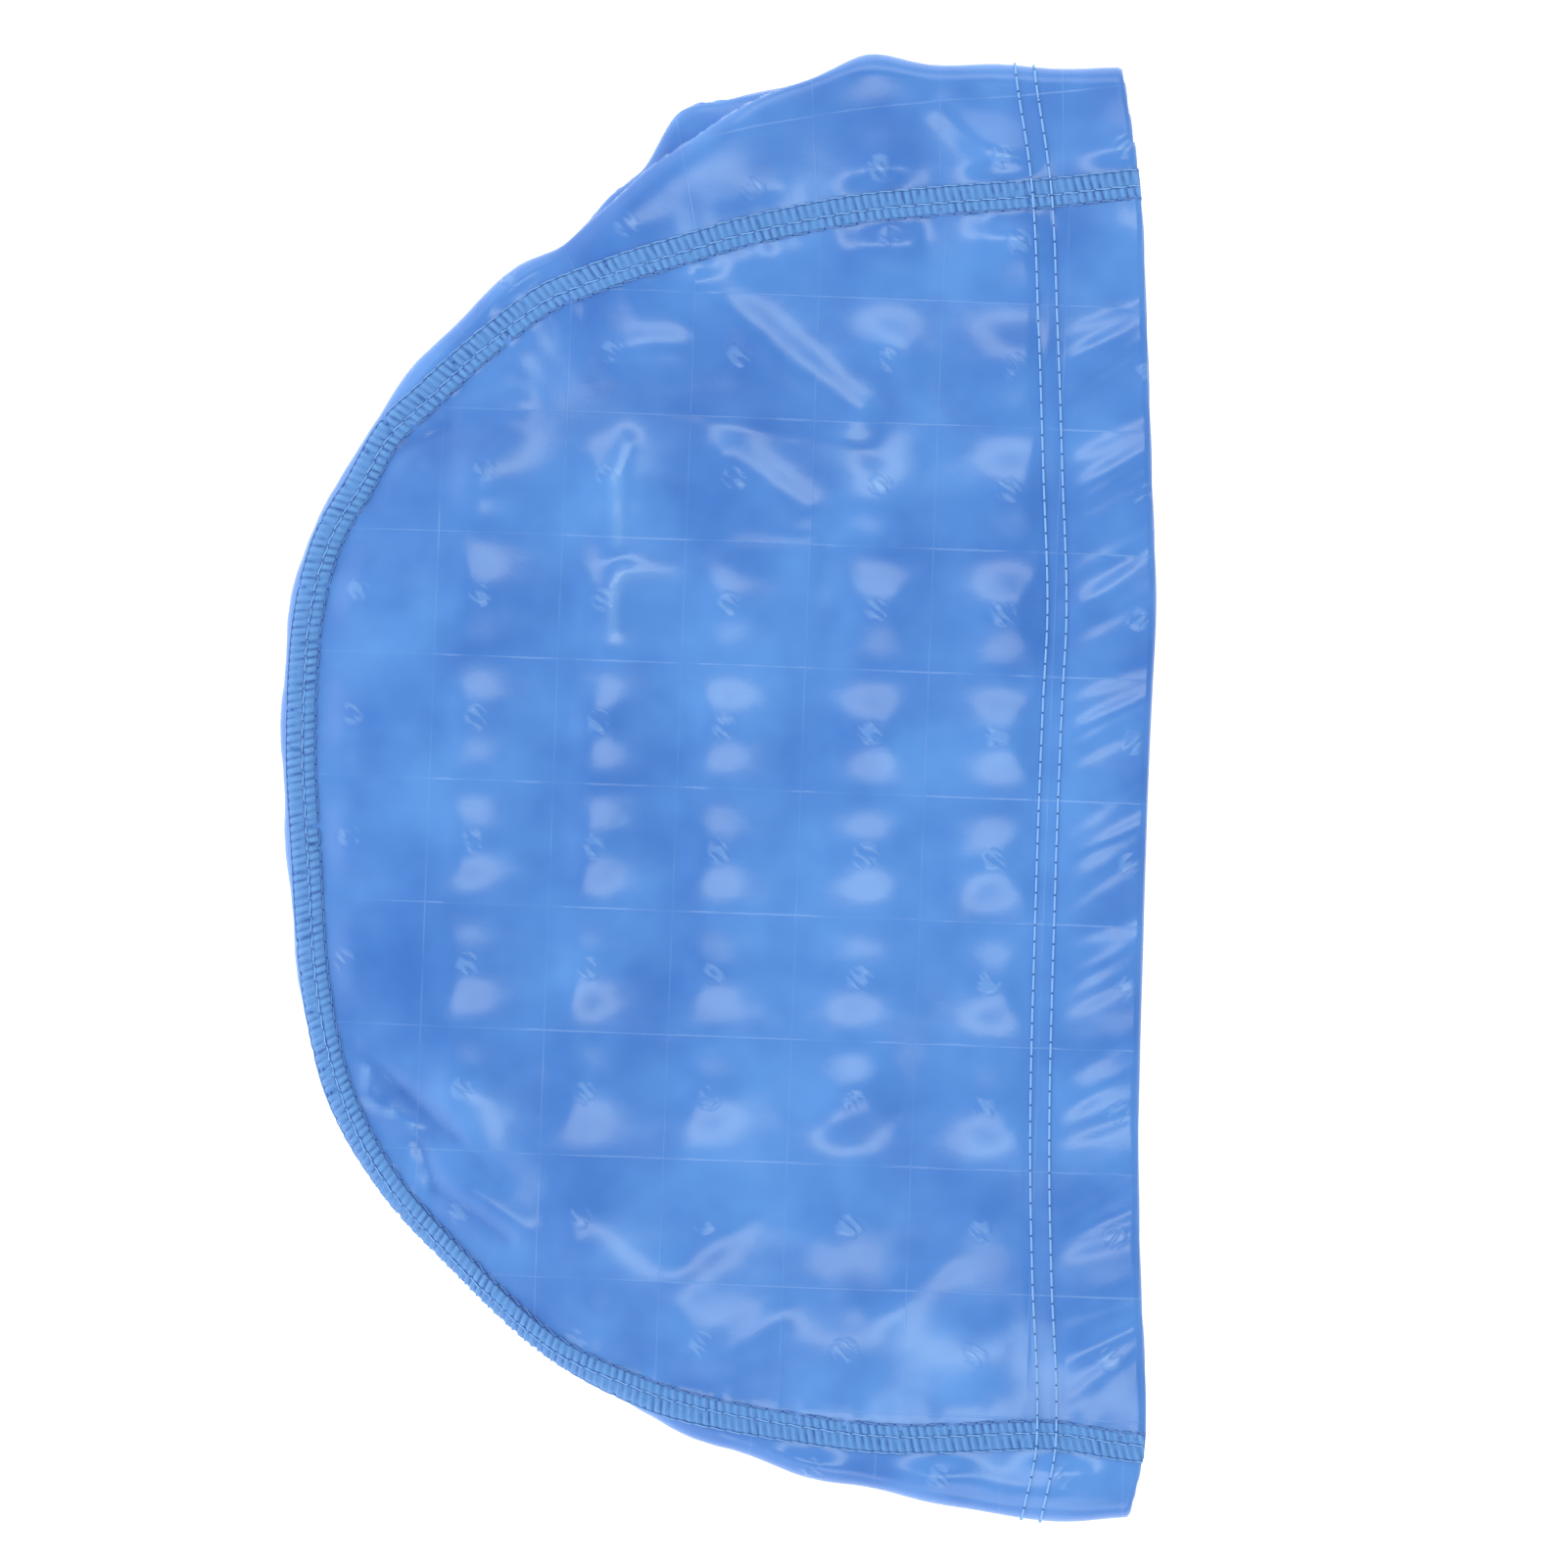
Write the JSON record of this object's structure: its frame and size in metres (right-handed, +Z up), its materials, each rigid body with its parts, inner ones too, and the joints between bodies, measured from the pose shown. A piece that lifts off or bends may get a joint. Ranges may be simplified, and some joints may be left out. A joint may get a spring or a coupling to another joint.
{
  "type": "swim cap",
  "caption": "Soft coated stretch-cloth swim cap lying flat: embossed side panels, crown strip between them, flat seams, turned-in hem at an open mouth.",
  "frame": {"origin": "under the middle of the cap's bounding box, on the surface that it lies on", "axes": "+X out of the head opening, +Y along the rim towards the forehead end, +Z up from the surface"},
  "size_m": [0.1608, 0.2696, 0.0152],
  "materials": {
    "coated_cloth": "glossy coated stretch knit, embossed in squares",
    "seam": "matt stretch yarn, flat seam"
  },
  "bodies": {
    "root": {"upper_side_panel": "coated_cloth", "lower_side_panel": "coated_cloth", "crown_strip": "coated_cloth", "upper_flatlock_seam": "seam", "lower_flatlock_seam": "seam"}
  },
  "joints": []
}
